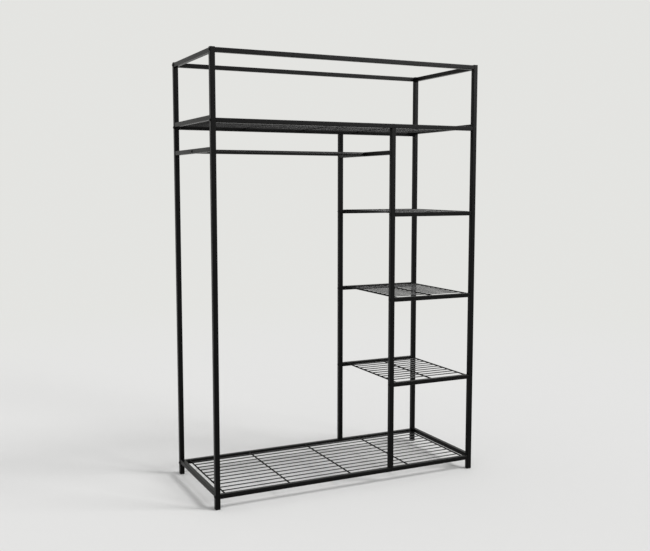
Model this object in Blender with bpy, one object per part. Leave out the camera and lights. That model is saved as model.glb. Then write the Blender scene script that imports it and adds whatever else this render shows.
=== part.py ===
# Open wardrobe rack of square steel tube: two side frames, a middle frame, a top frame,
# two full-width wire shelves, three small wire shelves and a hanging rod.
#
# X runs along the width, the front faces -Y and +Z is up. The origin is on the floor,
# under the middle of the rack. All sizes are in metres.

import math

import bmesh
import bpy
import numpy as np

# Overall size, over the corner posts
WIDTH = 1.200
DEPTH = 0.500

# Heights above the floor of the rails' centre lines
BOTTOM_SHELF_Z = 0.052
LOW_SHELF_Z = 0.420
MIDDLE_SHELF_Z = 0.784
HIGH_SHELF_Z = 1.142
HANGING_Z = 1.398
TOP_SHELF_Z = 1.506
TOP_FRAME_Z = 1.765

# Rise of the side rails of the two large shelves over their front and rear rails
BOTTOM_SIDE_RISE = 0.0070
TOP_SHELF_SIDE_RISE = 0.0105

# Clear width of the shelf bay, between the middle posts and the right posts
SHELF_BAY_WIDTH = 0.382

# Tubes: the posts, the rails between them, and the round rod
POST_SIZE = 0.020
POST_CORNER = 0.0020
RAIL_SIZE = 0.018
RAIL_CORNER = 0.0018
TUBE_WALL = 0.0012
ROD_DIAMETER = 0.018
ROD_WALL = 0.0010
END_PLATE = 0.0030

# Wire shelves: thin runners along X, welded through thicker cross wires along Y. A margin
# is the distance from the front or rear rail to the centre of the nearest runner, and
# the runners between come as near to the pitch as an even spacing can.
RUNNER_DIAMETER = 0.0045
RUNNER_PITCH = 0.040
CROSS_WIRE_DIAMETER = 0.0060
LARGE_RUNNER_MARGIN = 0.031
LARGE_CROSS_WIRES = 5
LARGE_SHELF_INSET = 0.024
SMALL_RUNNER_MARGIN = 0.051
SMALL_CROSS_WIRES = 3
SMALL_LEFT_INSET = 0.019
SMALL_RIGHT_INSET = 0.010

# Button head bolts with a hexagon socket
BOLT_DIAMETER = 0.0060
BOLT_REACH = 0.0060
HEAD_DIAMETER = 0.0110
HEAD_CROWN = 0.0068
HEAD_HEIGHT = 0.0030
HEAD_RIM = 0.0008
SOCKET_WIDTH = 0.0040
SOCKET_DEPTH = 0.0018

# Plastic plugs: the feet under the posts and the caps on top of them
FOOT_HEIGHT = 0.0060
FOOT_EDGE = 0.0024
FOOT_STEM = 0.0220
CAP_HEIGHT = 0.0020
CAP_EDGE = 0.0010
PLUG_WALL = 0.0020
PLUG_RIB_DEPTH = 0.0008
FOOT_RIBS = 2

# Clearance between touching pieces, and round a bolt in its hole
SEAT_GAP = 0.0003

# Sides of the round shapes, and steps in the corners of the square ones
BOLT_SIDES = 12
HOLE_SIDES = 8
ROD_SIDES = 20
WIRE_SIDES = 6
POST_CORNER_STEPS = 2
RAIL_CORNER_STEPS = 1

# Places that follow from the sizes above
POST_X = (WIDTH - POST_SIZE) / 2
POST_Y = (DEPTH - POST_SIZE) / 2
POST_BOTTOM = FOOT_HEIGHT + SEAT_GAP
POST_TOP = TOP_FRAME_Z + RAIL_SIZE / 2
MIDDLE_POST_X = POST_X - POST_SIZE - SHELF_BAY_WIDTH
CLEAR_DEPTH = 2 * POST_Y - RAIL_SIZE
LARGE_RUNNERS = 1 + round((CLEAR_DEPTH - 2 * LARGE_RUNNER_MARGIN) / RUNNER_PITCH)
SMALL_RUNNERS = 1 + round((CLEAR_DEPTH - 2 * SMALL_RUNNER_MARGIN) / RUNNER_PITCH)
WIRE_RISE = (RAIL_SIZE - RUNNER_DIAMETER) / 2
BOLT_HOLE = (BOLT_DIAMETER + 2 * SEAT_GAP) / math.cos(math.pi / HOLE_SIDES)
ACCESS_HOLE = (HEAD_DIAMETER + 2 * SEAT_GAP) / math.cos(math.pi / HOLE_SIDES)

SIDES = {"left": -1, "right": 1}
FACES = {"front": -1, "rear": 1}
LARGE_LEVELS = {"bottom_shelf": BOTTOM_SHELF_Z, "top_shelf": TOP_SHELF_Z}
FRAME_LEVELS = {**LARGE_LEVELS, "top": TOP_FRAME_Z}
SMALL_LEVELS = {
    "low_shelf": LOW_SHELF_Z,
    "middle_shelf": MIDDLE_SHELF_Z,
    "high_shelf": HIGH_SHELF_Z,
}

# Colour, roughness and metallic value of each finish
FINISHES = {
    "black powder coat": ((0.012, 0.012, 0.012, 1), 0.42, 0.0),
    "black coated wire": ((0.014, 0.014, 0.014, 1), 0.40, 0.0),
    "black oxide bolt": ((0.020, 0.020, 0.021, 1), 0.35, 0.6),
    "black plastic": ((0.010, 0.010, 0.010, 1), 0.55, 0.0),
}

# Turns that lay a piece built along +Z along another axis
ALONG = {
    "+Z": (0, 0, 0),
    "-Z": (math.pi, 0, 0),
    "+X": (0, math.pi / 2, 0),
    "-X": (0, -math.pi / 2, 0),
    "+Y": (-math.pi / 2, 0, 0),
}


def material(name, finish):
    colour, roughness, metallic = FINISHES[finish]
    made = bpy.data.materials.new(f"{name} {finish}")
    made.use_nodes = True
    shader = made.node_tree.nodes["Principled BSDF"]
    shader.inputs["Base Color"].default_value = colour
    shader.inputs["Roughness"].default_value = roughness
    shader.inputs["Metallic"].default_value = metallic
    return made


def new_object(name, bm):
    bmesh.ops.recalc_face_normals(bm, faces=bm.faces)
    mesh = bpy.data.meshes.new(name)
    bm.to_mesh(mesh)
    bm.free()
    made = bpy.data.objects.new(name, mesh)
    bpy.context.collection.objects.link(made)
    return made


def finished(piece, finish, along, place, smooth_angle=35):
    """Shades a piece, gives it its material, and lays it along an axis at its place."""
    piece.data.shade_smooth()
    piece.data.set_sharp_from_angle(angle=math.radians(smooth_angle))
    piece.data.materials.clear()
    piece.data.materials.append(material(piece.name, finish))
    piece.rotation_euler = ALONG[along]
    piece.location = place
    return piece


def circle(diameter, sides):
    """Points round a circle, with a flat between two of them facing local +Y."""
    turns = math.pi / 2 + 2 * math.pi * (np.arange(sides) + 0.5) / sides
    return diameter / 2 * np.column_stack((np.cos(turns), np.sin(turns)))


def rounded_square(size, corner, steps):
    """Points round a square whose corners are arcs of the given radius."""
    arc = np.radians(np.linspace(0, 90, steps + 1))
    points = []
    for quarter in range(4):
        turns = arc + quarter * math.pi / 2
        centre = (size / 2 - corner) * math.sqrt(2)
        middle = math.pi / 4 + quarter * math.pi / 2
        points.append(
            np.column_stack(
                (
                    centre * math.cos(middle) + corner * np.cos(turns),
                    centre * math.sin(middle) + corner * np.sin(turns),
                )
            )
        )
    return np.vstack(points)


def inner_corner(corner):
    """The corner radius inside a square tube, which never closes up altogether."""
    return max(corner - TUBE_WALL, corner / 4)


def skin(bm, levels):
    """Joins outlines, each given with its height, into one closed body. An outline has
    as many points as the one before it or, from a hexagon to a round, twice as many."""
    rings = [
        [bm.verts.new((x, y, height)) for x, y in outline]
        for outline, height in levels
    ]
    for lower, upper in zip(rings, rings[1:]):
        step = len(upper) // len(lower)
        for i in range(len(lower)):
            start, end = step * i, step * (i + 1)
            arc = [upper[k % len(upper)] for k in range(end, start - 1, -1)]
            bm.faces.new((lower[i], lower[(i + 1) % len(lower)], *arc))
    bm.faces.new(reversed(rings[0]))
    bm.faces.new(rings[-1])


def prism(name, outline, low, high):
    bm = bmesh.new()
    skin(bm, [(outline, low), (outline, high)])
    return new_object(name, bm)


def combined(piece, others, operation):
    """Cuts the other pieces out of a piece, or joins them to it, and removes them."""
    for other in others:
        step = piece.modifiers.new(operation.lower(), "BOOLEAN")
        step.operation = operation
        step.solver = "EXACT"
        step.object = other
    bpy.context.view_layer.update()
    shown = piece.evaluated_get(bpy.context.evaluated_depsgraph_get())
    mesh = bpy.data.meshes.new_from_object(shown)
    piece.modifiers.clear()
    plain = piece.data
    piece.data = mesh
    mesh.name = piece.name
    bpy.data.meshes.remove(plain)
    for other in others:
        bpy.data.meshes.remove(other.data)
    return piece


def cross_hole(diameter, start, end, place):
    """A cutter for a hole along a tube's local X axis, from start to end, at its place
    along the tube."""
    cutter = prism("hole", circle(diameter, HOLE_SIDES), start, end)
    turn = np.array(((0, 0, 1), (0, 1, 0), (-1, 0, 0)))
    for vertex in cutter.data.vertices:
        x, y, z = turn @ np.array(vertex.co)
        vertex.co = (x, y, z + place)
    return cutter


def end_bore(height):
    """A cutter for the threaded bore of an end plate at the given height."""
    outline = circle(BOLT_HOLE, HOLE_SIDES)
    return prism("bore", outline, height - 2 * END_PLATE, height + 2 * END_PLATE)


def tube(name, outer, inner, length, plates=False, holes=(), access=0):
    """A tube along local Z, centred on its length. It is open at both ends, or closed
    there by plates with a threaded bore. Bolt holes are given by their place along it
    and go through both walls. Where access is 1 or -1, a bolt's head passes the wall on
    that side of local X and seats inside, on the other wall."""
    half = length / 2
    reach = half - END_PLATE if plates else half + END_PLATE
    piece = prism(name, outer, -half, half)
    cutters = [prism("hollow", inner, -reach, reach)]
    if plates:
        cutters += [end_bore(end) for end in (-half, half)]
    size = 2 * outer[:, 0].max()
    cutters += [cross_hole(BOLT_HOLE, -size, size, place) for place in holes]
    if access:
        low, high = sorted((0, access * size))
        cutters += [cross_hole(ACCESS_HOLE, low, high, place) for place in holes]
    return combined(piece, cutters, "DIFFERENCE")


def square_tube(name, size, corner, steps, length, **details):
    outer = rounded_square(size, corner, steps)
    inner = rounded_square(size - 2 * TUBE_WALL, inner_corner(corner), steps)
    return tube(name, outer, inner, length, **details)


def rail(name, along, place, length, **details):
    steps = RAIL_CORNER_STEPS
    piece = square_tube(name, RAIL_SIZE, RAIL_CORNER, steps, length, **details)
    return finished(piece, "black powder coat", along, place)


def post(name, x, y, low, high, **details):
    """A post between two heights, with its holes given as heights too."""
    middle = (low + high) / 2
    details["holes"] = [height - middle for height in details.get("holes", ())]
    steps = POST_CORNER_STEPS
    piece = square_tube(name, POST_SIZE, POST_CORNER, steps, high - low, **details)
    return finished(piece, "black powder coat", "+Z", (x, y, middle))


def corner_posts():
    for side, x in SIDES.items():
        holes = list(FRAME_LEVELS.values())
        if side == "right":
            holes += SMALL_LEVELS.values()
        for face, y in FACES.items():
            post(
                f"{face}_{side}_post",
                x * POST_X,
                y * POST_Y,
                POST_BOTTOM,
                POST_TOP - SEAT_GAP,
                holes=holes,
            )


def middle_posts():
    """The two posts of the middle frame, between the rails of the two large shelves."""
    low = BOTTOM_SHELF_Z + RAIL_SIZE / 2 + SEAT_GAP
    high = TOP_SHELF_Z - RAIL_SIZE / 2 - SEAT_GAP
    for face, y in FACES.items():
        post(
            f"{face}_middle_post",
            MIDDLE_POST_X,
            y * POST_Y,
            low,
            high,
            plates=True,
            holes=list(SMALL_LEVELS.values()),
        )


def long_rails():
    """The front and rear rails of the top frame and of the two large shelves. Those of
    the shelves have a hole for the bolt that holds a middle post, with access from
    below on the bottom shelf and from above on the top shelf."""
    length = 2 * POST_X - POST_SIZE - 2 * SEAT_GAP
    access = {"bottom_shelf": 1, "top_shelf": -1, "top": 0}
    for level, height in FRAME_LEVELS.items():
        holes = [MIDDLE_POST_X] if level in LARGE_LEVELS else []
        details = {"plates": True, "holes": holes, "access": access[level]}
        for face, y in FACES.items():
            place = (0, y * POST_Y, height)
            name = f"{level}_{face}_rail"
            rail(name, "+X", place, length, **details)


def side_rails():
    """The rails of the side frames, welded between their front and rear posts."""
    length = 2 * POST_Y - POST_SIZE - 2 * SEAT_GAP
    rises = {"bottom_shelf": BOTTOM_SIDE_RISE, "top_shelf": TOP_SHELF_SIDE_RISE}
    for level, height in FRAME_LEVELS.items():
        height += rises.get(level, 0)
        for side, x in SIDES.items():
            rail(f"{level}_{side}_rail", "+Y", (x * POST_X, 0, height), length)


def small_shelf_rails():
    length = SHELF_BAY_WIDTH - 2 * SEAT_GAP
    centre = MIDDLE_POST_X + (POST_SIZE + SHELF_BAY_WIDTH) / 2
    for level, height in SMALL_LEVELS.items():
        for face, y in FACES.items():
            place = (centre, y * POST_Y, height)
            rail(f"{level}_{face}_rail", "+X", place, length, plates=True)


def hanging_rod():
    """The two crossbars, one in the left frame and one in the middle frame, and the
    round rod bolted between them."""
    length = 2 * POST_Y - POST_SIZE - 2 * SEAT_GAP
    crossbars = {"left_hanging_crossbar": -POST_X, "middle_hanging_crossbar": MIDDLE_POST_X}
    for name, x in crossbars.items():
        rail(name, "+Y", (x, 0, HANGING_Z), length, holes=[0])
    left, right = -POST_X + RAIL_SIZE / 2, MIDDLE_POST_X - RAIL_SIZE / 2
    piece = tube(
        "hanging_rod",
        circle(ROD_DIAMETER, ROD_SIDES),
        circle(ROD_DIAMETER - 2 * ROD_WALL, ROD_SIDES),
        right - left - 2 * SEAT_GAP,
        plates=True,
    )
    finished(piece, "black powder coat", "+X", ((left + right) / 2, 0, HANGING_Z))


def wires(name, diameter, along, places, reach):
    """Parallel wires, in one object: from -reach to reach along one axis, at their places
    across it. Two corners of each lie at the height of its centre, so that wires at one
    height meet there in single points."""
    outline = circle(diameter, WIRE_SIDES).round(9)
    bm = bmesh.new()
    for place in places:
        start = len(bm.verts)
        skin(bm, [(outline, -reach), (outline, reach)])
        bm.verts.ensure_lookup_table()
        for vertex in bm.verts[start:]:
            across, up, length = vertex.co
            if along == "X":
                vertex.co = (length, across + place, up)
            else:
                vertex.co = (across + place, length, up)
    return new_object(name, bm)


def wire_shelf(name, left, right, height, cross_wires, runners, margin):
    """Cross wires from the front rail to the rear rail, and runners through them at the
    same height. Left and right are the outer cross wires, in which the runners end."""
    centre = (left + right) / 2
    reach = (right - left) / 2
    spread = np.linspace(-reach, reach, cross_wires)
    rows = (CLEAR_DEPTH / 2 - margin) * np.linspace(-1, 1, runners)
    piece = wires(name, CROSS_WIRE_DIAMETER, "Y", spread, CLEAR_DEPTH / 2 - SEAT_GAP)
    through = wires("runners", RUNNER_DIAMETER, "X", rows, reach)
    combined(piece, [through], "UNION")
    place = (centre, 0, height + WIRE_RISE)
    finished(piece, "black coated wire", "+Z", place, smooth_angle=65)


def wire_shelves():
    reach = POST_X - RAIL_SIZE / 2 - LARGE_SHELF_INSET
    large = (LARGE_CROSS_WIRES, LARGE_RUNNERS, LARGE_RUNNER_MARGIN)
    for level, height in LARGE_LEVELS.items():
        wire_shelf(f"{level}_wires", -reach, reach, height, *large)
    left = MIDDLE_POST_X + POST_SIZE / 2 + SMALL_LEFT_INSET
    right = POST_X - POST_SIZE / 2 - SMALL_RIGHT_INSET
    small = (SMALL_CROSS_WIRES, SMALL_RUNNERS, SMALL_RUNNER_MARGIN)
    for level, height in SMALL_LEVELS.items():
        wire_shelf(f"{level}_wires", left, right, height, *small)


def bolt(name, along, place, grip):
    """A bolt whose head seats at its place; the shank reaches grip plus the reach of
    the thread beyond it. Built head down, with the shank along +Z."""
    turned = [
        (HEAD_CROWN, -HEAD_HEIGHT),
        (HEAD_DIAMETER, -HEAD_RIM),
        (HEAD_DIAMETER, 0),
        (BOLT_DIAMETER, 0),
        (BOLT_DIAMETER, grip + BOLT_REACH),
    ]
    socket = circle(BOLT_DIAMETER, BOLT_SIDES)[::2]
    socket *= SOCKET_WIDTH / BOLT_DIAMETER / math.cos(math.pi / len(socket))
    levels = [(socket, SOCKET_DEPTH - HEAD_HEIGHT), (socket, -HEAD_HEIGHT)]
    levels += [(circle(diameter, BOLT_SIDES), height) for diameter, height in turned]
    bm = bmesh.new()
    skin(bm, levels)
    finished(new_object(name, bm), "black oxide bolt", along, place)


def frame_bolts():
    """Bolts through the corner posts, from outside, into the ends of the long rails."""
    grip = POST_SIZE + 2 * SEAT_GAP + END_PLATE
    outside = POST_X + POST_SIZE / 2 + SEAT_GAP
    for level, height in FRAME_LEVELS.items():
        for side, x in SIDES.items():
            along = "+X" if side == "left" else "-X"
            for face, y in FACES.items():
                name = f"{level}_{face}_{side}_bolt"
                bolt(name, along, (x * outside, y * POST_Y, height), grip)


def rod_bolts():
    grip = RAIL_SIZE + 2 * SEAT_GAP + END_PLATE
    reach = RAIL_SIZE / 2 + SEAT_GAP
    bolt("left_rod_bolt", "+X", (-POST_X - reach, 0, HANGING_Z), grip)
    bolt("right_rod_bolt", "-X", (MIDDLE_POST_X + reach, 0, HANGING_Z), grip)


def middle_post_bolts():
    """Bolts up from inside the bottom rails and down from inside the top shelf's rails,
    into the end plates of the middle posts."""
    grip = TUBE_WALL + 2 * SEAT_GAP + END_PLATE
    seat = RAIL_SIZE / 2 - TUBE_WALL - SEAT_GAP
    for face, y in FACES.items():
        lower = (MIDDLE_POST_X, y * POST_Y, BOTTOM_SHELF_Z + seat)
        upper = (MIDDLE_POST_X, y * POST_Y, TOP_SHELF_Z - seat)
        bolt(f"lower_{face}_middle_post_bolt", "+Z", lower, grip)
        bolt(f"upper_{face}_middle_post_bolt", "-Z", upper, grip)


def plug(name, along, place, height, edge, stem, ribs):
    """A push-in plug with its outer face at its place: a head as wide as the post, with
    rounded edges, and a hollow ribbed stem inside the post. Built along +Z."""
    inside = POST_SIZE - 2 * TUBE_WALL - 2 * SEAT_GAP
    core = inside - 2 * PLUG_RIB_DEPTH
    hollow = core - 2 * PLUG_WALL
    corner = inner_corner(POST_CORNER)
    levels = []
    for turn in np.radians((0, 45, 90)):
        inset = edge * (1 - math.sin(turn))
        rise = edge * (1 - math.cos(turn))
        levels.append((POST_SIZE - 2 * inset, max(POST_CORNER - inset, corner), rise))
    levels.append((POST_SIZE, POST_CORNER, height))
    levels.append((core, corner, height))
    for rib in np.linspace(height, height + stem, ribs + 2)[1:-1]:
        levels.append((core, corner, rib - PLUG_RIB_DEPTH / 2))
        levels.append((inside, corner, rib))
        levels.append((core, corner, rib + PLUG_RIB_DEPTH))
    levels.append((core, corner, height + stem))
    levels.append((hollow, corner, height + stem))
    levels.append((hollow, corner, height))
    steps = POST_CORNER_STEPS
    bm = bmesh.new()
    skin(bm, [(rounded_square(size, arc, steps), at) for size, arc, at in levels])
    finished(new_object(name, bm), "black plastic", along, place)


def feet_and_caps():
    # The cap's stem ends short of the bolt of the top frame.
    cap_stem = RAIL_SIZE / 2 - BOLT_DIAMETER / 2 - SEAT_GAP
    for side, x in SIDES.items():
        for face, y in FACES.items():
            at = (x * POST_X, y * POST_Y)
            foot = (f"{face}_{side}_foot", "+Z", (*at, 0))
            cap = (f"{face}_{side}_cap", "-Z", (*at, POST_TOP + CAP_HEIGHT))
            plug(*foot, FOOT_HEIGHT, FOOT_EDGE, FOOT_STEM, FOOT_RIBS)
            plug(*cap, CAP_HEIGHT, CAP_EDGE, cap_stem, 0)


for thing in list(bpy.data.objects):
    bpy.data.objects.remove(thing, do_unlink=True)

corner_posts()
middle_posts()
long_rails()
side_rails()
small_shelf_rails()
hanging_rod()
wire_shelves()
frame_bolts()
rod_bolts()
middle_post_bolts()
feet_and_caps()
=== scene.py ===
# Looks of the open wardrobe rack: fine tubes, wires, bolts, plugs and welds with their finishes,
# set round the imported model, with a pale studio and the camera of the photograph. All sizes are
# in metres.
import math

import bpy
import numpy as np
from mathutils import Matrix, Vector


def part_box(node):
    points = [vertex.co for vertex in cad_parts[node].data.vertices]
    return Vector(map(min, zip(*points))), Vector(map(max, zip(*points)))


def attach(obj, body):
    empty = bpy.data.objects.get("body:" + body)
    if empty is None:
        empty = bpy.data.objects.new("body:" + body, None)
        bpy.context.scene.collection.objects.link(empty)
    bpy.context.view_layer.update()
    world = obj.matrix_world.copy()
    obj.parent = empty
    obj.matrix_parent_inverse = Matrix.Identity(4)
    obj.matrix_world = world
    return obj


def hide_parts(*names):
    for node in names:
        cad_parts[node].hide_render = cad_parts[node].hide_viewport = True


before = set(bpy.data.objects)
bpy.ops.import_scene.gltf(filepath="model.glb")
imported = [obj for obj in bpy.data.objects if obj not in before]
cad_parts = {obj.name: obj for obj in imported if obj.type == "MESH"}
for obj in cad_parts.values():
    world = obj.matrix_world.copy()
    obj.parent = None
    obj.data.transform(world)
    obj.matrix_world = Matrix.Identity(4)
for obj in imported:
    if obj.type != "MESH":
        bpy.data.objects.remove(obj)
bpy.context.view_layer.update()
print("frame loaded:", len(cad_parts), "nodes")

# Turns that lay a shape built along +Z along another axis. None of them mirrors it.
turns = {
    "+Z": np.array(((1, 0, 0), (0, 1, 0), (0, 0, 1))),
    "-Z": np.array(((1, 0, 0), (0, -1, 0), (0, 0, -1))),
    "+X": np.array(((0, 0, 1), (1, 0, 0), (0, 1, 0))),
    "-X": np.array(((0, 0, -1), (1, 0, 0), (0, -1, 0))),
    "+Y": np.array(((0, 1, 0), (0, 0, 1), (1, 0, 0))),
}
sides = {"left": "-X", "right": "+X"}   # the way that each side of the rack faces
ends = {"front": -1, "rear": 1}         # the sign of Y at its front and at its rear
largeShelves = ("bottom_shelf", "top_shelf")
frameLevels = (*largeShelves, "top")
smallShelves = ("low_shelf", "middle_shelf", "high_shelf")
chance = np.random.default_rng(7)       # the seed makes every run draw the same


# An output socket, wrapped so that shader maths reads as plain expressions.
class Signal:
    def __init__(self, tree, socket=None):
        self.tree = tree
        self.socket = socket

    # Adds a node: its settings are set first, then its inputs get their values or links.
    def node(self, kind, settings=None, inputs=None, output=0):
        made = self.tree.nodes.new(kind)
        for key, value in (settings or {}).items():
            setattr(made, key, value)
        for key, value in (inputs or {}).items():
            if isinstance(value, Signal):
                self.tree.links.new(value.socket, made.inputs[key])
            else:
                made.inputs[key].default_value = value
        return Signal(self.tree, made.outputs[output] if len(made.outputs) else None)

    def maths(self, operation, *values):
        return self.node("ShaderNodeMath", {"operation": operation}, dict(enumerate(values)))

    def __add__(self, other):
        return self.maths("ADD", self, other)

    def __radd__(self, other):
        return self.maths("ADD", other, self)

    def __sub__(self, other):
        return self.maths("SUBTRACT", self, other)

    def __rsub__(self, other):
        return self.maths("SUBTRACT", other, self)

    def __mul__(self, other):
        return self.maths("MULTIPLY", self, other)

    def __rmul__(self, other):
        return self.maths("MULTIPLY", other, self)

    def above(self, low, high):  # 0 under low, 1 over high, and a smooth step between them
        values = {"Value": self, "From Min": low, "From Max": high}
        return self.node("ShaderNodeMapRange", {"interpolation_type": "SMOOTHSTEP"}, values)

    def larger(self, other):
        return self.maths("MAXIMUM", self, other)


# A new material with an empty node tree, the start of its shader, and the place on the piece.
def newShader(name):
    made = bpy.data.materials.new(name)
    made.use_nodes = True
    made.node_tree.nodes.clear()
    start = Signal(made.node_tree)
    return made, start, start.node("ShaderNodeTexCoord", output="Object")


def surface(start, shader):  # ends a material's nodes in its output
    start.node("ShaderNodeOutputMaterial", {}, {"Surface": shader})


noiseMiddle = 0.5   # what a noise drifts about


def noise(start, place, scale, detail=2.0, roughness=0.5):
    values = {"Vector": place, "Scale": scale, "Detail": detail, "Roughness": roughness}
    return start.node("ShaderNodeTexNoise", {}, values, "Fac")


# Sockets of a Mix node that mixes colours. Several there share a name, so they go by number.
mixSockets = {"factor": 0, "first": 6, "second": 7, "result": 2}


def mixColour(start, factor, first, second):
    values = {mixSockets["factor"]: factor, mixSockets["first"]: first, mixSockets["second"]: second}
    return start.node("ShaderNodeMix", {"data_type": "RGBA"}, values, mixSockets["result"])


def grey(level, warmth=0.0):  # more red and less blue than an even grey, by the share warmth
    return (level * (1 + warmth), level, level * (1 - warmth), 1)


def tinted(level, tint):  # a grey times the tint of each channel
    return (*(level * part for part in tint), 1)


# Coatings. Colour is the grey of the coat, gloss its specular level, peel the height of its orange
# peel and wear the grey of its worn corners.
coatings = {
    "tubeCoat": {"colour": 0.0010, "gloss": 0.086, "roughness": 0.33, "peel": 0.00005, "wear": 0.005},
    "crossCoat": {"colour": 0.0010, "gloss": 0.030, "roughness": 0.48, "peel": 0.00004, "wear": 0.007},
    "rodCoat": {"colour": 0.0010, "gloss": 0.180, "roughness": 0.26, "peel": 0.00004, "wear": 0.007},
    "wireCoat": {"colour": 0.0050, "gloss": 0.295, "roughness": 0.26, "peel": 0.00004, "wear": 0.012},
}
coatDetail = {
    "peel": {"scale": 420.0},       # cells of the orange peel, a little over 2 mm
    "grain": {"scale": 2400.0, "detail": 1.0},      # the powder's own grain
    "grainShare": 0.25,             # of the relief, beside the orange peel
    "relief": 0.6,
    "cloud": {"scale": 6.0, "detail": 4.0, "roughness": 0.6},   # slow drift along a tube
    "cloudTone": 0.25,              # how far the drift takes the colour, as a share of it
    "cloudWarmth": 0.02,
    "cloudRoughness": 0.16,         # and how far it takes the roughness
    "dust": {"scale": 900.0, "detail": 3.0, "roughness": 0.7},
    "dustRange": (0.62, 0.80),      # the part of its noise from which dust shows
    "dustAmount": 0.20,
    "dustColour": 0.009,
    "dustWarmth": 0.04,
    "dustRoughness": 0.2,
    "wearRange": (0.45, 0.7),       # the part of the orange peel that wears at a corner
    "wearPolish": 0.06,             # how much smoother a corner is
}


# Powder coat: grey with a slow drift, dust in specks, and corners worn where the orange peel is
# high. The relief is orange peel and grain.
def coatMaterial(name):
    look, detail = coatings[name], coatDetail
    made, start, place = newShader(name)
    peel = noise(start, place, **detail["peel"])
    grain = noise(start, place, **detail["grain"])
    cloud = noise(start, place, **detail["cloud"])
    edge = start.node("ShaderNodeAttribute", {"attribute_name": "edge"}, output="Fac")
    dust = noise(start, place, **detail["dust"]).above(*detail["dustRange"]) * detail["dustAmount"]
    dark = grey(look["colour"] * (1 - detail["cloudTone"]))
    pale = grey(look["colour"] * (1 + detail["cloudTone"]), detail["cloudWarmth"])
    speck = grey(look["colour"] + detail["dustColour"], detail["dustWarmth"])
    dusty = mixColour(start, dust * cloud, mixColour(start, cloud, dark, pale), speck)
    worn = mixColour(start, edge * peel.above(*detail["wearRange"]), dusty, grey(look["wear"]))
    height = peel * (1 - detail["grainShare"]) + grain * detail["grainShare"]
    bump = {"Strength": detail["relief"], "Distance": look["peel"], "Height": height}
    rough = look["roughness"] + (cloud - noiseMiddle) * detail["cloudRoughness"]
    values = {
        "Base Color": worn,
        "Roughness": rough + dust * detail["dustRoughness"] - edge * detail["wearPolish"],
        "Specular IOR Level": look["gloss"],
        "Normal": start.node("ShaderNodeBump", {}, bump),
    }
    surface(start, start.node("ShaderNodeBsdfPrincipled", {}, values))
    return made


boltLook = {
    "colour": 0.030,
    "warmth": 0.03,
    "roughness": 0.36,
    "metallic": 0.65,
    "gloss": 0.4,
    "grain": {"scale": 1500.0, "detail": 3.0, "roughness": 0.7},
    "grainRoughness": 0.2,      # how far the grain takes the roughness
    "relief": 0.4,
    "depth": 0.00005,
    "spots": {"scale": 260.0, "detail": 4.0, "roughness": 0.6},
    "spotRange": (0.35, 0.7),
    "ground": 0.5,              # the colour between the spots, as a share of theirs
}


# Black oxide: dark metal with paler spots, and a fine grain in its gloss and its relief.
def boltMaterial():
    look = boltLook
    made, start, place = newShader("blackOxide")
    grain = noise(start, place, **look["grain"])
    spots = noise(start, place, **look["spots"]).above(*look["spotRange"])
    bump = {"Strength": look["relief"], "Distance": look["depth"], "Height": grain}
    ground, spot = grey(look["colour"] * look["ground"]), grey(look["colour"], look["warmth"])
    values = {
        "Base Color": mixColour(start, spots, ground, spot),
        "Metallic": look["metallic"],
        "Roughness": look["roughness"] + (grain - noiseMiddle) * look["grainRoughness"],
        "Specular IOR Level": look["gloss"],
        "Normal": start.node("ShaderNodeBump", {}, bump),
    }
    surface(start, start.node("ShaderNodeBsdfPrincipled", {}, values))
    return made


plasticLook = {
    "colour": 0.0070,
    "roughness": 0.58,
    "gloss": 0.18,
    "grain": {"scale": 1800.0},
    "grainRoughness": 0.1,
    "relief": 0.5,
    "depth": 0.00006,
    "scuff": {"scale": 120.0, "detail": 5.0, "roughness": 0.65},
    "scuffRange": (0.55, 0.75),
    "scuffAmount": 0.5,
    "scuffColour": 3,           # times the plain colour
    "scuffWarmth": 0.03,
    "scuffRoughness": 0.15,
}


# Moulded plastic: a matt dark grey with a moulded grain, and paler, rougher scuffs.
def plasticMaterial():
    look = plasticLook
    made, start, place = newShader("mouldedPlastic")
    grain = noise(start, place, **look["grain"])
    scuff = noise(start, place, **look["scuff"]).above(*look["scuffRange"])
    bump = {"Strength": look["relief"], "Distance": look["depth"], "Height": grain}
    rough = look["roughness"] + scuff * look["scuffRoughness"]
    scuffed = grey(look["colour"] * look["scuffColour"], look["scuffWarmth"])
    values = {
        "Base Color": mixColour(start, scuff * look["scuffAmount"], grey(look["colour"]), scuffed),
        "Roughness": rough + (grain - noiseMiddle) * look["grainRoughness"],
        "Specular IOR Level": look["gloss"],
        "Normal": start.node("ShaderNodeBump", {}, bump),
    }
    surface(start, start.node("ShaderNodeBsdfPrincipled", {}, values))
    return made


finishes = {name: coatMaterial(name) for name in coatings}
finishes["blackOxide"] = boltMaterial()
finishes["mouldedPlastic"] = plasticMaterial()
print("finishes made:", len(finishes))

meshDetail = {
    "digits": 7,            # a point's place is kept to a tenth of a micrometre
    "sharpAngle": 38,       # degrees from which an edge is sharp
    "boltSharpAngle": 30,
}


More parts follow.
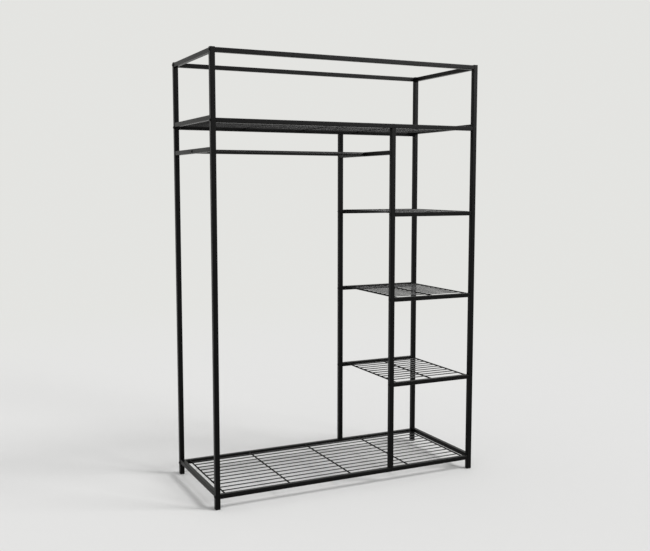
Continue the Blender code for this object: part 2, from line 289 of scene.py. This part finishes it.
# Joins grids of points into one mesh. Each grid holds copies of a surface, as rings of points, and
# a ring joins the next by quads. A surface is closed by its two end faces, or its last ring meets
# its first. Edge gives how near each point of a ring is to a corner of its section.
def addPiece(name, finish, grids, loops, edges=None, replaced=(), sharpAngle=meshDetail["sharpAngle"]):
    points, faces, nearEdge, first = [], [], [], 0
    for grid, loop, edge in zip(grids, loops, edges or [None] * len(grids)):
        copies, rows, columns = grid.shape[:3]
        index = first + np.arange(copies * rows * columns).reshape(copies, rows, columns)
        lower = index if loop else index[:, :-1]
        upper = np.roll(index, -1, axis=1) if loop else index[:, 1:]
        quads = (lower, np.roll(lower, -1, axis=2), np.roll(upper, -1, axis=2), upper)
        faces += np.stack(quads, axis=-1).reshape(-1, len(quads)).tolist()
        if not loop:
            faces += index[:, 0, ::-1].tolist() + index[:, -1].tolist()
        points.append(grid.reshape(-1, 3))
        spread = np.zeros(columns) if edge is None else edge
        nearEdge.append(np.broadcast_to(spread, (copies, rows, columns)).ravel())
        first += copies * rows * columns
    mesh = bpy.data.meshes.new(name)
    mesh.from_pydata(np.vstack(points).round(meshDetail["digits"]), [], faces)
    shares = np.concatenate(nearEdge).astype(np.float32)
    mesh.attributes.new("edge", "FLOAT", "POINT").data.foreach_set("value", shares)
    mesh.shade_smooth()
    mesh.set_sharp_from_angle(angle=math.radians(sharpAngle))
    mesh.materials.append(finishes[finish])
    piece = bpy.data.objects.new(name, mesh)
    bpy.context.scene.collection.objects.link(piece)
    if replaced:
        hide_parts(*replaced)
    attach(piece, "root")


def laid(grid, along, place):  # turns a grid built along +Z and moves it to its place
    return grid @ turns[along].T + np.asarray(place, float)


def middleOf(node):  # the middle of a node's box, and its size
    low, high = (np.array(corner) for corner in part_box(node))
    return (low + high) / 2, high - low


def roundTurns(count, offset=0.0):  # even turns round a full circle, from offset steps on
    return 2 * math.pi * (np.arange(count) + offset) / count


# Circles, one for each radius and height.
def roundRings(levels, count):
    radius, height = np.array(levels, float).T[:, :, None]
    turn = roundTurns(count)
    tall = np.broadcast_to(height, (len(levels), count))
    return np.stack((radius * np.cos(turn), radius * np.sin(turn), tall), axis=-1)


# Rounded squares, one for each size, corner radius and height. A corner is a quarter circle about
# its own centre, and a point just past each end of the arc keeps the flats flat in the shading.
squareCorners = 4
cornerSteps = 6
cornerPast = 0.0008     # how far past the arc that point lies
cornerRun = np.concatenate(([0.0], np.linspace(0, 1, cornerSteps + 1), [1.0]))
cornerEdge = np.tile(np.concatenate(([0.0], np.ones(cornerSteps + 1), [0.0])), squareCorners)


def squareRings(levels):
    size, corner, height = np.array(levels, float).T[:, :, None]
    arc = np.tile(cornerRun, squareCorners) * math.pi / 2
    before = np.tile(np.arange(len(cornerRun)) == 0, squareCorners)
    after = np.tile(np.arange(len(cornerRun)) == len(cornerRun) - 1, squareCorners)
    slide = np.minimum(cornerPast, (size / 2 - corner) / 2)
    x = size / 2 - corner + corner * np.cos(arc) - slide * after
    y = size / 2 - corner + corner * np.sin(arc) - slide * before
    turn = np.repeat(np.arange(squareCorners), len(cornerRun)) * math.pi / 2
    turnedX = x * np.cos(turn) - y * np.sin(turn)
    turnedY = x * np.sin(turn) + y * np.cos(turn)
    return np.stack((turnedX, turnedY, np.broadcast_to(height, x.shape)), axis=-1)


tubeSizes = {
    "wall": 0.0012,
    "postCorner": 0.0020,
    "railCorner": 0.0018,
    "rodWall": 0.0010,
    "rodPoints": 48,
    "endPlate": 0.0030,
    "boreRadius": 0.0033,
    "boreCorner": 0.97,     # the roundness of a bore's outline, 1 for a circle
    "burr": 0.0002,         # the rounding of a cut end
    "rim": 3,               # where the end's rounding begins to be shaded, in burrs from the end
}


# A square tube: out along the outside, over the cut end, and back along the inside. Where it has
# end plates, the way back goes through the round bore of each plate.
def squareTube(size, corner, length, plates):
    s = tubeSizes
    half, burr, inner, innerCorner = length / 2, s["burr"], size - 2 * s["wall"], corner - s["wall"]
    upper = [(size, corner, half - s["rim"] * burr), (size, corner, half - burr)]
    upper += [(size - 2 * burr, corner - burr, half)]
    if plates:
        bore, boreCorner = s["boreRadius"], s["boreRadius"] * s["boreCorner"]
        upper += [(2 * bore, boreCorner, half), (2 * bore, boreCorner, half - s["endPlate"])]
        upper += [(inner, innerCorner, half - s["endPlate"])]
    else:
        upper += [(inner + 2 * burr, innerCorner + burr, half), (inner, innerCorner, half - burr)]
    lower = [(wide, arc, -height) for wide, arc, height in reversed(upper)]
    return squareRings(upper + lower)[None]


# A tube in the place of a node, along one axis, with its width and length from the node's box.
def tubePiece(node, along, corner, plates=False):
    middle, spread = middleOf(node)
    run = "XYZ".index(along[1])
    wide = spread[(run + 1) % 3]
    grid = laid(squareTube(wide, corner, spread[run], plates), along, middle)
    addPiece(f"{node}_tube", "tubeCoat", [grid], [True], [cornerEdge], [node])


for face in ends:
    for side in sides:
        tubePiece(f"{face}_{side}_post", "+Z", tubeSizes["postCorner"])
    tubePiece(f"{face}_middle_post", "+Z", tubeSizes["postCorner"], plates=True)
    for level in frameLevels + smallShelves:
        tubePiece(f"{level}_{face}_rail", "+X", tubeSizes["railCorner"], plates=True)
crossbars = ["left_hanging_crossbar", "middle_hanging_crossbar"]
for bar in [f"{level}_{side}_rail" for side in sides for level in frameLevels] + crossbars:
    tubePiece(bar, "+Y", tubeSizes["railCorner"])


# The round rod: circles out along the outside, over the end, and back through the end plate's bore.
def rodGrid(half, radius):
    s = tubeSizes
    end = [(radius, half - s["rim"] * s["burr"]), (radius, half - s["burr"]), (radius - s["burr"], half)]
    end += [(s["boreRadius"], half), (s["boreRadius"], half - s["endPlate"])]
    end += [(radius - s["rodWall"], half - s["endPlate"])]
    return roundRings(end + [(wide, -height) for wide, height in reversed(end)], s["rodPoints"])[None]


middle, spread = middleOf("hanging_rod")
rod = laid(rodGrid(spread[0] / 2, spread[1] / 2), "+X", middle)
addPiece("hanging_rod_tube", "rodCoat", [rod], [True], None, ["hanging_rod"])
print("tubes made")


wireSizes = {
    "crossRadius": 0.0030,
    "runnerRadius": 0.00225,
    "pitch": 0.040,
    "bend": 0.0003,         # how far a wire strays from straight
    "stations": 13,         # evenly along a wire, and a rounded end in place of the first and last
    "points": 14,           # round a wire
    "tipLength": 0.35,      # of a rounded end, in radii
    "tip": ((0.0, 0.6), (0.4, 0.85), (1.0, 1.0)),   # shares of the end's length and of the radius
    "largeShelf": {"runners": 11, "crossWires": 5},
    "smallShelf": {"runners": 10, "crossWires": 3},
}
weldSizes = {
    "half": (0.0043, 0.0036, 0.0023),   # half the size of the weld round a crossing
    "spread": (0.85, 1.15),     # how much one differs from the next
    "rings": 6,
    "points": 10,
    "pole": 0.92,               # how near its end faces come to its poles
    "bead": 0.0010,             # radius of the weld round a cross wire's end
    "seat": 0.8,                # where it lies, in radii of the wire
    "beadPoints": 18,
    "sectionPoints": 8,
    "swell": 0.18,
    "waves": 3,
    "phases": 6,                # the range of the swelling's start, in radians
}


# Straight wires with rounded ends, one for each place: circles carried along the wire, with a slow
# sideways drift of one sine wave, whose height and start differ from wire to wire.
def wireGrids(along, radius, low, high, places, level):
    s = wireSizes
    run = np.linspace(low, high, s["stations"])[1:-1]
    reach, wide = np.array(s["tip"]).T
    tip = radius * s["tipLength"] * reach
    lengths = np.concatenate((low + tip, run, high - tip[::-1]))
    radii = np.concatenate((wide, np.ones(len(run)), wide[::-1])) * radius
    ring = roundRings(np.column_stack((radii, lengths)), s["points"])
    places = np.asarray(places, float)
    drift = s["bend"] * chance.uniform(-1, 1, len(places))[:, None]
    start = chance.uniform(0, 2 * math.pi, len(places))[:, None]
    sway = drift * np.sin(start + 2 * math.pi * (lengths - low) / (high - low))
    x, y, z = np.moveaxis(np.repeat(ring[None], len(places), axis=0), -1, 0)
    across = (places[:, None] + sway)[:, :, None]
    if along == "X":
        return np.stack((z, x + across, y + level), axis=-1)
    return np.stack((y + across, z, x + level), axis=-1)


# Welds where a runner goes through a cross wire: flattened spheres that fill the four corners of
# the crossing, each stretched a little. No corner of their outline points along a wire.
def nuggetGrids(places):
    s = weldSizes
    rise = np.linspace(-1, 1, s["rings"])[:, None] * math.pi / 2 * s["pole"]
    turn = roundTurns(s["points"], offset=0.5)
    wide = np.cos(rise) * np.ones_like(turn)
    tall = np.sin(rise) * np.ones_like(turn)
    unit = np.stack((wide * np.cos(turn), wide * np.sin(turn), tall), axis=-1)
    stretch = np.array(s["half"]) * chance.uniform(*s["spread"], (len(places), 1, 1, 3))
    return unit[None] * stretch + places[:, None, None]


# A ring of weld round the end of a wire: a small circle carried round the wire, its radius swelling
# and shrinking along the way.
def ringWelds(places, along, radius):
    s = weldSizes
    turn = roundTurns(s["beadPoints"])
    section = roundTurns(s["sectionPoints"])
    wave = np.sin(s["waves"] * turn + chance.uniform(0, s["phases"], (len(places), 1)))
    swell = s["bead"] * (1 + s["swell"] * wave)[:, :, None]
    reach = radius * s["seat"] + swell * np.cos(section)
    lift = swell * np.sin(section) + np.zeros_like(reach)
    grid = np.stack((reach * np.cos(turn)[:, None], reach * np.sin(turn)[:, None], lift), axis=-1)
    return grid.transpose(0, 2, 1, 3) @ turns[along].T + places[:, None, None]


def crossings(stations, rows, level):  # every pair of a station along X and a row along Y
    x, y = (part.ravel() for part in np.meshgrid(stations, rows))
    return np.column_stack((x, y, np.full(x.shape, level)))


# A wire shelf in the place of its node: cross wires spread evenly over its length, runners through
# them at an even pitch, and the welds of both.
def wireShelf(name, runners, crossWires):
    node = f"{name}_wires"
    low, high = (np.array(corner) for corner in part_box(node))
    level = middleOf(node)[0][2]
    cross, runner = wireSizes["crossRadius"], wireSizes["runnerRadius"]
    rows = wireSizes["pitch"] * (np.arange(runners) - (runners - 1) / 2)
    stations = np.linspace(low[0] + cross, high[0] - cross, crossWires)
    crossGrid = wireGrids("Y", cross, low[1], high[1], stations, level)
    runnerGrid = wireGrids("X", runner, stations[0], stations[-1], rows, level)
    addPiece(f"{name}_cross_wires", "crossCoat", [crossGrid], [False], None, [node])
    addPiece(f"{name}_runners", "wireCoat", [runnerGrid], [False])
    nuggets = nuggetGrids(crossings(stations, rows, level))
    rings = ringWelds(crossings(stations, (low[1], high[1]), level), "+Y", cross)
    addPiece(f"{name}_spot_welds", "crossCoat", [nuggets, rings], [False, True])


for name in largeShelves:
    wireShelf(name, **wireSizes["largeShelf"])
for name in smallShelves:
    wireShelf(name, **wireSizes["smallShelf"])
print("wire shelves made")


beadSizes = {
    "radius": 0.0009,
    "ripple": 0.0014,       # the length of one ripple
    "rippleDepth": 0.10,
    "pointsPerRipple": 4,
    "sectionPoints": 8,
}


# A bead of weld round a square tube's end: a small circle carried along the tube's rounded outline
# at even steps, its radius rising and falling once for each ripple.
def squareBead(size, corner):
    outline = squareRings([(size, corner, 0.0)])[0, :, :2]
    closed = np.vstack((outline, outline[:1]))
    travelled = np.concatenate(([0.0], np.cumsum(np.linalg.norm(np.diff(closed, axis=0), axis=1))))
    ripples = round(travelled[-1] / beadSizes["ripple"])
    count = ripples * beadSizes["pointsPerRipple"]
    even = np.linspace(0, travelled[-1], count, endpoint=False)
    path = np.column_stack([np.interp(even, travelled, closed[:, axis]) for axis in (0, 1)])
    ahead = np.roll(path, -1, axis=0) - np.roll(path, 1, axis=0)
    outward = np.column_stack((ahead[:, 1], -ahead[:, 0])) / np.linalg.norm(ahead, axis=1)[:, None]
    wave = np.sin(2 * math.pi * ripples * even / travelled[-1])
    radius = beadSizes["radius"] * (1 + beadSizes["rippleDepth"] * wave)[None]
    section = roundTurns(beadSizes["sectionPoints"])[:, None]
    reach = (radius * np.cos(section))[:, :, None]
    lift = (radius * np.sin(section))[:, :, None]
    return np.concatenate((path + outward * reach, lift), axis=-1)[None]


# The side rails and the crossbars are welded to their posts at both ends.
for bar in [f"{level}_{side}_rail" for level in frameLevels for side in sides] + crossbars:
    middle, spread = middleOf(bar)
    bead = squareBead(spread[0], tubeSizes["railCorner"])
    beads = [laid(bead, "+Y", middle + (0, end * spread[1] / 2, 0)) for end in ends.values()]
    addPiece(f"{bar}_welds", "tubeCoat", beads, [True, True])
print("welds made")


boltSizes = {
    "seatGap": 0.0003,
    "headHeight": 0.0030,
    "rim": 0.0008,
    "rimEdge": 0.0002,      # the rounding where the head meets its seat
    "headRadius": 0.0055,
    "crownRadius": 0.0034,
    "domeSteps": 7,
    "shankRadius": 0.0030,
    "tip": 0.8,             # the radius of the shank's end, in radii of the shank
    "tipLength": 0.0006,
    "socketFlat": 0.0020,   # half the width across the socket's flats
    "socketDepth": 0.0018,
    "socketMouth": 1.25,    # the radius of the round mouth, in halves of that width
    "mouthDepth": 0.0003,
    "socketEnd": 0.3,       # the radius at the end of the cone under the socket, in the same
    "coneDepth": 0.0004,
    "points": 48,
    "flats": 6,
}


# A bolt turned round +Z, with its head's seat at height 0: the shank, the domed head as a quarter
# ellipse from rim to crown, and the socket, whose radius is that of a hexagon: half its width
# divided by the cosine of the angle to the nearest flat. A level is a radius, a height and whether
# it is a hexagon.
def boltGrid(shank):
    s = boltSizes
    turn = roundTurns(s["points"])
    side = 2 * math.pi / s["flats"]
    hexagon = 1 / np.cos((turn + side / 2) % side - side / 2)
    dome = np.linspace(0, math.pi / 2, s["domeSteps"])
    domeRadius = s["crownRadius"] + (s["headRadius"] - s["crownRadius"]) * np.cos(dome)
    domeHeight = s["rim"] + (s["headHeight"] - s["rim"]) * np.sin(dome)
    levels = [(s["shankRadius"] * s["tip"], -shank, 0), (s["shankRadius"], -shank + s["tipLength"], 0)]
    levels += [(s["shankRadius"], 0, 0), (s["headRadius"] - s["rimEdge"], 0, 0)]
    levels += [(s["headRadius"], s["rimEdge"], 0)]
    levels += [(radius, height, 0) for radius, height in zip(domeRadius, domeHeight)]
    levels += [(s["socketFlat"] * s["socketMouth"], s["headHeight"], 0)]
    levels += [(s["socketFlat"], s["headHeight"] - s["mouthDepth"], 1)]
    levels += [(s["socketFlat"], s["headHeight"] - s["socketDepth"], 1)]
    levels += [(s["socketFlat"] * s["socketEnd"], s["headHeight"] - s["socketDepth"] - s["coneDepth"], 0)]
    radius, height, six = np.array(levels).T[:, :, None]
    reach = radius * (1 + six * (hexagon - 1))
    tall = np.broadcast_to(height, reach.shape)
    return np.stack((reach * np.cos(turn), reach * np.sin(turn), tall), axis=-1)[None]


def boltPiece(name, along, seat, shank, replaced=()):
    grid = laid(boltGrid(shank), along, seat)
    addPiece(name, "blackOxide", [grid], [False], None, replaced, meshDetail["boltSharpAngle"])


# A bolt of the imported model: its longest side is its axis, and its head is at the end named by
# along. Gives the length of its shank.
def refinedBolt(node, along):
    middle, spread = middleOf(node)
    axis = "XYZ".index(along[1])
    outward = 1 if along[0] == "+" else -1
    seat = middle.copy()
    seat[axis] += outward * (spread[axis] / 2 - boltSizes["headHeight"])
    shank = spread[axis] - boltSizes["headHeight"]
    boltPiece(f"{node}_fine", along, seat, shank, [node])
    return shank


for side, along in sides.items():
    for level in frameLevels:
        for face in ends:
            frameShank = refinedBolt(f"{level}_{face}_{side}_bolt", along)
    refinedBolt(f"{side}_rod_bolt", along)
for face in ends:
    refinedBolt(f"lower_{face}_middle_post_bolt", "-Z")
    refinedBolt(f"upper_{face}_middle_post_bolt", "+Z")

# The bolts of the small shelves aren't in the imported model, and are as long as the frame's. They
# hold the shelves' rails through the right posts, from outside, and the middle posts, from the left.
for level in smallShelves:
    for face in ends:
        rail = middleOf(f"{level}_{face}_rail")[0]
        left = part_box(f"{face}_middle_post")[0].x - boltSizes["seatGap"]
        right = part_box(f"{face}_right_post")[1].x + boltSizes["seatGap"]
        boltPiece(f"{level}_{face}_left_bolt", "-X", (left, rail[1], rail[2]), frameShank)
        boltPiece(f"{level}_{face}_right_bolt", "+X", (right, rail[1], rail[2]), frameShank)
print("bolts made")


# Feet and caps: along is the way from a plug's outer face into its post.
plugSizes = {
    "foot": {"along": "+Z", "height": 0.0060, "edge": 0.0042, "ribs": 2},
    "cap": {"along": "-Z", "height": 0.0020, "edge": 0.0010, "ribs": 0},
    "edgeSteps": 6,
    "underEdge": 0.0001,    # the rounding of the head's edge against the post
    "fit": 0.0015,          # from the outside of the head to the stem's ribs
    "ribDepth": 0.0008,
    "wall": 0.0020,
}


# A plug built along +Z from its outer face: the edge is a quarter circle, the head is as wide as
# the post, and the hollow stem has ribs, each a rise and a fall of its width.
def plugGrid(size, height, edge, stem, ribs):
    s, outer = plugSizes, tubeSizes["postCorner"]
    rise = np.linspace(0, math.pi / 2, s["edgeSteps"] + 1)
    inset, lift = edge * (1 - np.sin(rise)), edge * (1 - np.cos(rise))
    core = size - 2 * s["fit"] - 2 * s["ribDepth"]
    hollow = core - 2 * s["wall"]
    corner = outer / 2
    levels = list(zip(size - 2 * inset, np.maximum(outer - inset, corner), lift))
    levels += [(size, outer, height - s["underEdge"]), (size - 2 * s["underEdge"], outer, height)]
    levels += [(core, corner, height)]
    for rib in np.linspace(height, height + stem, ribs + 2)[1:-1]:
        levels += [(core, corner, rib - s["ribDepth"] / 2), (core + 2 * s["ribDepth"], corner, rib)]
        levels += [(core, corner, rib + s["ribDepth"])]
    levels += [(core, corner, height + stem), (hollow, corner, height + stem), (hollow, corner, height)]
    return squareRings(levels)[None]


for side in sides:
    for face in ends:
        for kind in ("foot", "cap"):
            node = f"{face}_{side}_{kind}"
            middle, spread = middleOf(node)
            plug = plugSizes[kind]
            outer = middle - turns[plug["along"]] @ (0, 0, spread[2] / 2)
            grid = plugGrid(spread[0], plug["height"], plug["edge"], spread[2] - plug["height"], plug["ribs"])
            grid = laid(grid, plug["along"], outer)
            addPiece(f"{node}_moulded", "mouldedPlastic", [grid], [False], None, [node])


# Plugs of the holes in the long rails, through which the middle posts' bolts are reached.
holePlugSizes = {
    "holeRadius": 0.0058,
    "stemLength": 0.0030,
    "shoulder": 0.0024,         # where the stem begins to narrow
    "stemEnd": 0.8,             # the radius of its end, in radii of the hole
    "flangeRadius": 0.0076,
    "flangeHeight": 0.0007,
    "flangeFall": 0.6,          # how much of the height is lost at the rim
    "flangeMiddle": 0.1,        # the radius of the flat at its middle, in radii of the flange
    "flangeSteps": 8,
    "points": 32,
}


# A hole plug turned round +Z, with its flange's seat at height 0: the stem, then the flange, whose
# top is a flat dome: its height falls off with the square of the distance from the middle.
def holePlugGrid():
    s = holePlugSizes
    radius = np.linspace(s["flangeRadius"], s["flangeRadius"] * s["flangeMiddle"], s["flangeSteps"])
    height = s["flangeHeight"] * (1 - s["flangeFall"] * (radius / s["flangeRadius"]) ** 2)
    levels = [(s["holeRadius"] * s["stemEnd"], -s["stemLength"]), (s["holeRadius"], -s["shoulder"])]
    levels += [(s["holeRadius"], 0), (s["flangeRadius"], 0)]
    return roundRings(levels + list(zip(radius, height)), s["points"])[None]


for level, along in (("bottom_shelf", "-Z"), ("top_shelf", "+Z")):
    for face in ends:
        rail, spread = middleOf(f"{level}_{face}_rail")
        seat = (middleOf(f"{face}_middle_post")[0][0], rail[1], rail[2] + spread[2] / 2 * turns[along][2, 2])
        addPiece(f"{level}_{face}_hole_plug", "mouldedPlastic", [laid(holePlugGrid(), along, seat)], [False])
print("plugs made")


studio = {
    "floorGrey": 0.80,
    "floorTint": (1.001, 1.0, 0.990),
    "floorCloud": {"scale": 0.7},
    "floorSpread": 0.005,   # how far the floor's grey drifts, as a share of it
    "floorReach": 30.0,
    "backGrey": 0.775,
    "backTint": (1.002, 1.004, 0.976),
    "fadeStart": 2.0,       # the floor turns into the background between these distances
    "fadeEnd": 6.0,
    "skyLight": 0.54,
    "keyLight": 1.25,
    "keyAngle": 0.27,
    "keyToward": (0.72, -0.50, 1.0),
    "fillLight": 1.50,
    "fillAngle": 0.32,
    "fillToward": (0.56, -0.83, 0.31),
    "lampDistance": 4.0,
}
backColour = tinted(studio["backGrey"], studio["backTint"])


def cameraSees(start):  # 1 for what the camera sees, straight, in a reflection or through a pane
    rays = start.node("ShaderNodeLightPath").socket.node.outputs
    kinds = ("Is Camera Ray", "Is Glossy Ray", "Is Transmission Ray")
    camera, glossy, through = (Signal(start.tree, rays[kind]) for kind in kinds)
    return camera.larger(glossy).larger(through)


def mixShader(start, factor, first, second):  # its two shaders share a name, so all go by number
    return start.node("ShaderNodeMixShader", {}, dict(enumerate((factor, first, second))))


# Pale floor: matt, with a faint drift of its grey, which fades into the plain background.
def floorMaterial():
    made, start, place = newShader("paleFloor")
    away = start.node("ShaderNodeVectorMath", {"operation": "LENGTH"}, {"Vector": place}, "Value")
    fade = away.above(studio["fadeStart"], studio["fadeEnd"])
    cloud = noise(start, place, **studio["floorCloud"])
    darker = tinted(studio["floorGrey"] * (1 - studio["floorSpread"]), studio["floorTint"])
    paler = tinted(studio["floorGrey"] * (1 + studio["floorSpread"]), studio["floorTint"])
    lit = start.node("ShaderNodeBsdfDiffuse", {}, {"Color": mixColour(start, cloud, darker, paler)})
    plain = start.node("ShaderNodeEmission", {}, {"Color": backColour})
    surface(start, mixShader(start, fade * cameraSees(start), lit, plain))
    return made


reach = studio["floorReach"]
floorCorners = [(-reach, -reach, 0), (reach, -reach, 0), (reach, reach, 0), (-reach, reach, 0)]
floorMesh = bpy.data.meshes.new("studio_floor")
floorMesh.from_pydata(floorCorners, [], [range(len(floorCorners))])
floorMesh.materials.append(floorMaterial())
floor = bpy.data.objects.new("studio_floor", floorMesh)
bpy.context.scene.collection.objects.link(floor)

world = bpy.data.worlds.new("studio")
bpy.context.scene.world = world
world.use_nodes = True
world.node_tree.nodes.clear()
sky = Signal(world.node_tree)
seen = sky.node("ShaderNodeBackground", {}, {"Color": backColour})
light = sky.node("ShaderNodeBackground", {}, {"Color": grey(1.0), "Strength": studio["skyLight"]})
sky.node("ShaderNodeOutputWorld", {}, {"Surface": mixShader(sky, cameraSees(sky), light, seen)})


# A far softbox in the given direction from the rack: a sun lamp as wide as its angle.
def addLamp(name, toward, energy, angle):
    direction = np.array(toward) / np.linalg.norm(toward)
    lamp = bpy.data.lights.new(name, "SUN")
    lamp.energy = energy
    lamp.angle = angle
    holder = bpy.data.objects.new(name, lamp)
    holder.location = direction * studio["lampDistance"]
    holder.rotation_mode = "QUATERNION"
    holder.rotation_quaternion = Vector(direction).to_track_quat("Z", "Y")
    bpy.context.scene.collection.objects.link(holder)


for name in ("key", "fill"):
    addLamp(f"{name}_softbox", studio[f"{name}Toward"], studio[f"{name}Light"], studio[f"{name}Angle"])

# The photograph's camera: its place and angles, in degrees, were fitted to the rack's edges.
cameraFit = {
    "place": (-1.6664, -3.4403, 1.2610),
    "yaw": 25.75,
    "pitch": -5.793,
    "lens": 48.95,
    "sensor": 36.0,
}
view = bpy.data.cameras.new("camera")
view.lens = cameraFit["lens"]
view.sensor_width = cameraFit["sensor"]
camera = bpy.data.objects.new("camera", view)
camera.location = cameraFit["place"]
camera.rotation_euler = (math.radians(90 + cameraFit["pitch"]), 0, math.radians(-cameraFit["yaw"]))
bpy.context.scene.collection.objects.link(camera)
bpy.context.scene.camera = camera
bpy.context.scene.view_settings.view_transform = "Standard"
print("studio made")
